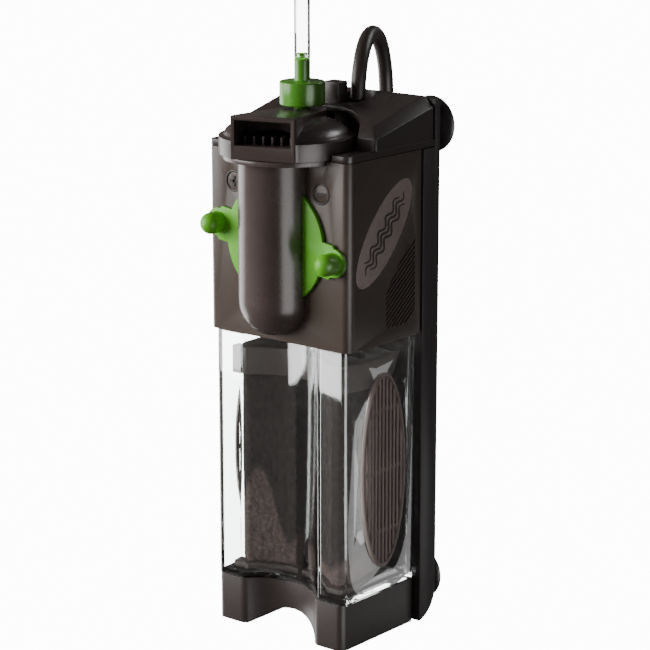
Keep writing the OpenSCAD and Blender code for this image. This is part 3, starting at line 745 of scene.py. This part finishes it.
class FILTER_OT_cartridges(bpy.types.Operator):
    """Cartridge frames with their blocks of open-cell foam"""

    bl_idname = "filter.cartridges"
    bl_label = "Cartridges"

    def execute(self, context):
        finish, size = context.scene.filter_finish, context.scene.filter_foam
        frame_plastic = moulded("cartridge_plastic", scaled(finish.duct, 0.45), 0.5)
        sponge = foam_material("filter_foam", finish.foam, size.cell)
        for side in ("left", "right"):
            cage = softened(f"cartridge_frame_{side}", frame_plastic, 0.25 * MM)
            self.block(side, sponge, size)
        return {"FINISHED"}

    def block(self, side, sponge, size):
        """A foam block with real cells pressed into its skin."""
        node = f"foam_{side}"
        made = merged_copy(node, f"{node}_block")
        remesh = made.modifiers.new("grid", "REMESH")
        remesh.mode = "VOXEL"
        remesh.voxel_size = size.voxel * 1.0
        applied(made)
        mesh = made.data
        normals = [v.normal.copy() for v in mesh.vertices]
        cell_edge, lump_pace, lump, inset = 0.55, 120, 0.25, 0.15 * MM
        for vert, normal in zip(mesh.vertices, normals):
            near = noise.voronoi(vert.co / size.cell)[0]
            open_part = max(0.0, 1 - near[0] / cell_edge)
            swell = noise.noise(vert.co * lump_pace) * lump * MM
            vert.co = vert.co - normal * (size.depth * open_part + inset - swell * 0.5)
        mesh.materials.clear()
        mesh.materials.append(sponge)
        mesh.shade_smooth()
        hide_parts(node)
        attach(made, f"cartridge_{side}")


class FILTER_OT_grilles(bpy.types.Operator):
    """Oval intake grilles with upright ribs"""

    bl_idname = "filter.grilles"
    bl_label = "Intake grilles"

    def execute(self, context):
        finish = context.scene.filter_finish
        plastic = moulded("grille_plastic", finish.inner, 0.5)
        for side in ("left", "right"):
            low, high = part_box(f"intake_grille_{side}")
            ribs = self.ribs(low, high, plastic).piece(f"grille_ribs_{side}")
            centre = (Vector(low) + Vector(high)) / 2
            moved(ribs, centre)
            rim = self.rim(side, low, high, plastic)
            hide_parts(f"intake_grille_{side}")
            for piece in (ribs, rim):
                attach(piece, "canister")
        return {"FINISHED"}

    def ribs(self, low, high, plastic):
        """A row of ribs, each as tall as the oval is there."""
        tree = Tree("grille_ribs")
        count = tree.size("Ribs", 11, "NodeSocketInt")
        rim_part, row_reach = 2.4 * MM, 0.455
        wide = tree.size("Oval width", high.y - low.y - rim_part)
        tall = tree.size("Oval height", high.z - low.z - rim_part)
        thick = tree.size("Rib width", 1.25 * MM)
        deep = tree.size("Rib depth", 1.5 * MM)
        finish = tree.size("Finish", plastic, "NodeSocketMaterial")
        line = tree.add("GeometryNodeMeshLine", mode="END_POINTS")
        usable = tree.math("MULTIPLY", wide, row_reach)
        tree.join(count, line.inputs["Count"])
        tree.join(tree.vector(y=tree.math("MULTIPLY", usable, -1.0)), line.inputs["Start Location"])
        tree.join(tree.vector(y=usable), line.inputs["Offset"])
        place = tree.add("GeometryNodeInputPosition")
        parts = tree.add("ShaderNodeSeparateXYZ")
        tree.join(place.outputs[0], parts.inputs[0])
        share = tree.math("DIVIDE", parts.outputs["Y"], tree.math("MULTIPLY", wide, 0.5))
        left = tree.math("SUBTRACT", 1.0, tree.math("MULTIPLY", share, share))
        height = tree.math("MULTIPLY", tree.math("SQRT", left), tall)
        rod = tree.add("GeometryNodeMeshCylinder")
        rod.inputs["Vertices"].default_value = 12
        rod.inputs["Radius"].default_value = 0.5
        rod.inputs["Depth"].default_value = 1.0
        spread = tree.add("GeometryNodeInstanceOnPoints")
        tree.join(line.outputs["Mesh"], spread.inputs["Points"])
        tree.join(rod.outputs["Mesh"], spread.inputs["Instance"])
        tree.join(tree.vector(deep, thick, height), spread.inputs["Scale"])
        tree.finish(spread.outputs["Instances"], finish)
        return tree

    def rim(self, side, low, high, plastic):
        """The oval frame with a rounded lip, and three cross bars behind the ribs."""
        centre = (low + high) / 2
        half_y, half_z = (high.y - low.y) / 2, (high.z - low.z) / 2
        out = 1 if side == "right" else -1
        inner, outer = (low.x, high.x) if out > 0 else (high.x, low.x)
        wide, rounding, sides = 1.7 * MM, 0.4 * MM, 96
        shoulder = outer - out * 0.5 * MM
        lip = [
            (0.0, shoulder), (rounding, outer), (wide - rounding, outer),
            (wide, shoulder), (wide, inner), (0.0, inner),
        ]
        bar_heights, bar_deep, bar_tall = (-24 * MM, 0.0, 24 * MM), 1.0 * MM, 1.6 * MM
        bar_in, bar_end_gap = 0.7 * MM, 0.8 * MM
        work = bmesh.new()
        rings = []
        for step in range(sides):
            angle = math.tau * step / sides
            rings.append([
                work.verts.new((
                    across,
                    centre.y + (half_y - inset) * math.cos(angle),
                    centre.z + (half_z - inset) * math.sin(angle),
                ))
                for inset, across in lip
            ])
        for one, two in zip(rings, rings[1:] + rings[:1]):
            for k in range(len(lip)):
                n = (k + 1) % len(lip)
                work.faces.new((one[k], one[n], two[n], two[k]))
        for height in bar_heights:
            reach = half_y * math.sqrt(1 - (height / half_z) ** 2) - bar_end_gap
            bar = bmesh.ops.create_cube(work, size=1.0)["verts"]
            for vert in bar:
                vert.co = (
                    inner + out * bar_in + vert.co.x * bar_deep,
                    centre.y + vert.co.y * 2 * reach,
                    centre.z + height + vert.co.z * bar_tall,
                )
        bmesh.ops.recalc_face_normals(work, faces=work.faces)
        mesh = bpy.data.meshes.new(f"grille_rim_{side}")
        work.to_mesh(mesh)
        work.free()
        mesh.materials.append(plastic)
        made = linked(f"grille_rim_{side}", mesh)
        mesh.shade_smooth()
        mesh.set_sharp_from_angle(angle=math.radians(50))
        return made


class FILTER_OT_head(bpy.types.Operator):
    """Pump head casing, lid, front duct, markers and badges"""

    bl_idname = "filter.head"
    bl_label = "Pump head"

    def execute(self, context):
        finish = context.scene.filter_finish
        shell = moulded("shell_plastic", finish.shell, 0.42, 1500.0, 0.16)
        case = softened("pump_housing", shell, 0.35 * MM)
        dark = moulded("lid_plastic", finish.dark, 0.38)
        for node, width in (("lid", 0.4 * MM), ("lid_block", 0.5 * MM)):
            softened(node, dark, width)
        duct = moulded("duct_plastic", finish.duct, 0.27, 1500.0, 0.05)
        softened("outlet_duct", duct, 0.4 * MM)
        mark = moulded("marker_plastic", finish.black, 0.35)
        for node, bars in (("flow_mark_plus", 2), ("flow_mark_minus", 1)):
            softened(node, shell, 0.12 * MM)
            self.sign(node, bars, mark)
        grey = moulded("badge_plastic", finish.badge, 0.5, 1800.0, 0.12)
        for side in ("left", "right"):
            softened(f"badge_{side}", grey, 0.25 * MM)
            self.waves(side, moulded(f"wave_plastic_{side}", finish.dark, 0.45))
        return {"FINISHED"}

    def sign(self, node, bars, ink):
        """A marker's dark ring with one bar, or two bars crossed."""
        tree = Tree(f"{node}_sign")
        bar_wide, bar_deep, flatness, proud = 2.4, 2.0, 0.45, 0.05 * MM
        wide = tree.size("Ring radius", 3.75 * MM)
        line = tree.size("Line", 0.42 * MM)
        reach = tree.size("Bar", 4.0 * MM)
        finish = tree.size("Finish", ink, "NodeSocketMaterial")
        path = tree.add("GeometryNodeCurvePrimitiveCircle")
        path.inputs["Resolution"].default_value = 48
        tree.join(wide, path.inputs["Radius"])
        section = tree.add("GeometryNodeCurvePrimitiveCircle")
        section.inputs["Resolution"].default_value = 8
        tree.join(line, section.inputs["Radius"])
        ring = tree.add("GeometryNodeCurveToMesh")
        tree.join(path.outputs["Curve"], ring.inputs["Curve"])
        tree.join(section.outputs["Curve"], ring.inputs["Profile Curve"])
        both = tree.add("GeometryNodeJoinGeometry")
        tree.join(ring.outputs["Mesh"], both.inputs["Geometry"])
        thick = tree.math("MULTIPLY", line, bar_wide)
        for turned in range(bars):
            bar = tree.add("GeometryNodeMeshCube")
            sides = (thick, reach) if turned else (reach, thick)
            deep = tree.math("MULTIPLY", line, bar_deep)
            tree.join(tree.vector(*sides, deep), bar.inputs["Size"])
            tree.join(bar.outputs["Mesh"], both.inputs["Geometry"])
        flat = tree.add("GeometryNodeTransform")
        flat.inputs["Rotation"].default_value = (math.radians(90), 0, 0)
        flat.inputs["Scale"].default_value = (1, 1, flatness)
        tree.join(both.outputs["Geometry"], flat.inputs["Geometry"])
        tree.finish(flat.outputs["Geometry"], finish)
        made = tree.piece(f"{node}_sign")
        low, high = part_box(node)
        moved(made, ((low[0] + high[0]) / 2, low[1] + proud, (low[2] + high[2]) / 2))
        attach(made, body_of(node))

    def waves(self, side, ink):
        """Raised water waves on a side badge."""
        low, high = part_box(f"badge_{side}")
        centre = (low + high) / 2
        out = 1 if side == "right" else -1
        face = high.x if out > 0 else low.x
        lean = math.radians(40)
        along = Vector((0, math.sin(lean), math.cos(lean)))
        over = Vector((0, math.cos(lean), -math.sin(lean)))
        lanes, steps = ((-2.3, 15.0), (0.0, 18.0), (2.3, 15.0)), 72
        swing, pace, stroke = 1.15, 0.9, 0.62 * MM
        section = ((-1, -0.2), (-0.75, 0.14), (0.75, 0.14), (1, -0.2))
        work = bmesh.new()
        for lane, reach in lanes:
            rows = []
            for step in range(steps + 1):
                t = 2 * step / steps - 1
                thin = 0.25 + 0.75 * math.sqrt(max(0.0, 1 - t * t))
                middle = along * (reach * MM * t) + over * (
                    (lane + swing * math.sin(t * reach * pace)) * MM
                )
                slope = swing * pace * math.cos(t * reach * pace)
                side_way = (over - along * slope).normalized()
                width = stroke * thin
                rows.append([
                    work.verts.new(
                        Vector((face + out * lift * MM, centre.y, centre.z))
                        + middle + side_way * (width * across)
                    )
                    for across, lift in section
                ])
            for one, two in zip(rows, rows[1:]):
                for k in range(len(section)):
                    n = (k + 1) % len(section)
                    work.faces.new((one[k], one[n], two[n], two[k]))
            work.faces.new(rows[0])
            work.faces.new(rows[-1][::-1])
        bmesh.ops.recalc_face_normals(work, faces=work.faces)
        mesh = bpy.data.meshes.new(f"badge_waves_{side}")
        work.to_mesh(mesh)
        work.free()
        mesh.materials.append(ink)
        made = linked(f"badge_waves_{side}", mesh)
        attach(made, "pump_head")


class FILTER_OT_works(bpy.types.Operator):
    """Finishes of the motor, rotor, seals and screws inside the head"""

    bl_idname = "filter.works"
    bl_label = "Works"

    def execute(self, context):
        finish = context.scene.filter_finish
        rubber = bpy.data.materials["seal_rubber"]
        dark = bpy.data.materials["lid_plastic"]
        resin = moulded("cast_resin", (0.045, 0.045, 0.055), 0.3, 60.0, 0.2, 0.15, 0.3)
        white = moulded("white_acetal", (0.80, 0.79, 0.74), 0.35, 900.0, 0.06, 0.04)
        ferrite = moulded("bonded_ferrite", (0.045, 0.045, 0.052), 0.55, 700.0, 0.3, 0.2)
        glaze = moulded("ceramic_glaze", (0.78, 0.76, 0.70), 0.15, 400.0, 0.03, 0.04)
        steel = metal("screw_steel", (0.55, 0.56, 0.58), 0.3)
        for nodes, paint in (
            (("motor_block",), resin), (("pump_cover",), dark),
            (("pump_seal", "container_seal", "valve_seal", "nozzle_seal"), rubber),
            (("shaft_bush_top", "shaft_bush_bottom"), rubber),
            (("impeller",), white), (("rotor_magnet",), ferrite),
            (("impeller_shaft",), glaze), (("housing_screws",), steel),
        ):
            for node in nodes:
                painted(node, paint)
        return {"FINISHED"}


class FILTER_OT_lever(bpy.types.Operator):
    """Green flow lever"""

    bl_idname = "filter.lever"
    bl_label = "Flow lever"

    def execute(self, context):
        colour = context.scene.filter_finish.green
        green = moulded("green_plastic", colour, 0.42, 1500.0, 0.10, 0.08)
        softened("flow_lever", green, 0.3 * MM, 3)
        return {"FINISHED"}


class FILTER_OT_nozzle(bpy.types.Operator):
    """Turning nozzle with its row of fins"""

    bl_idname = "filter.nozzle"
    bl_label = "Nozzle"

    def execute(self, context):
        finish = context.scene.filter_finish
        plastic = moulded("nozzle_plastic", scaled(finish.duct, 0.7), 0.30, 1500.0, 0.06)
        softened("nozzle", plastic, 0.45 * MM, 3)
        fin_plastic = moulded("fin_plastic", finish.dark, 0.4)
        softened("nozzle_fins", fin_plastic, 0.12 * MM)
        return {"FINISHED"}


class FILTER_OT_riser(bpy.types.Operator):
    """Green air collar, clear air tube and its intake"""

    bl_idname = "filter.riser"
    bl_label = "Air riser"

    def execute(self, context):
        finish = context.scene.filter_finish
        green = bpy.data.materials["green_plastic"]
        softened("air_regulator", green, 0.5 * MM, 3)
        clear = clear_plastic("clear_tube", (0.995, 0.995, 0.995), coat=0.0)
        tube = softened("air_tube", clear, 0.15 * MM)
        tube.visible_shadow = False
        intake = softened("air_intake", bpy.data.materials["lid_plastic"], 0.2 * MM)
        return {"FINISHED"}


class FILTER_PT_panel(bpy.types.Panel):
    """Lists the filter's pieces in the sidebar"""

    bl_label = "Internal power filter"
    bl_idname = "FILTER_PT_panel"
    bl_space_type = "VIEW_3D"
    bl_region_type = "UI"
    bl_category = "Filter"

    def draw(self, context):
        for settings in SETTINGS:
            box = self.layout.box()
            group = getattr(context.scene, settings)
            for name in group.__annotations__:
                box.prop(group, name)
        for operator in OPERATORS:
            self.layout.operator(operator.bl_idname)


SETTINGS = {
    "filter_finish": FilterFinish,
    "filter_foam": FilterFoam,
    "filter_cord": FilterCord,
    "filter_studio": FilterStudio,
}
OPERATORS = (
    FILTER_OT_studio, FILTER_OT_cord, FILTER_OT_canister, FILTER_OT_cartridges,
    FILTER_OT_grilles, FILTER_OT_head, FILTER_OT_lever, FILTER_OT_nozzle,
    FILTER_OT_riser, FILTER_OT_works,
)
CLASSES = (*SETTINGS.values(), *OPERATORS, FILTER_PT_panel)


def register():
    for kind in CLASSES:
        bpy.utils.register_class(kind)
    for name, kind in SETTINGS.items():
        setattr(bpy.types.Scene, name, bpy.props.PointerProperty(type=kind))


def unregister():
    for name in SETTINGS:
        delattr(bpy.types.Scene, name)
    for kind in reversed(CLASSES):
        bpy.utils.unregister_class(kind)


def main():
    register()
    bpy.ops.filter.studio()
    bpy.ops.filter.cord()
    bpy.ops.filter.canister()
    bpy.ops.filter.cartridges()
    bpy.ops.filter.grilles()
    bpy.ops.filter.head()
    bpy.ops.filter.lever()
    bpy.ops.filter.nozzle()
    bpy.ops.filter.riser()
    bpy.ops.filter.works()


if __name__ == "__main__":
    main()
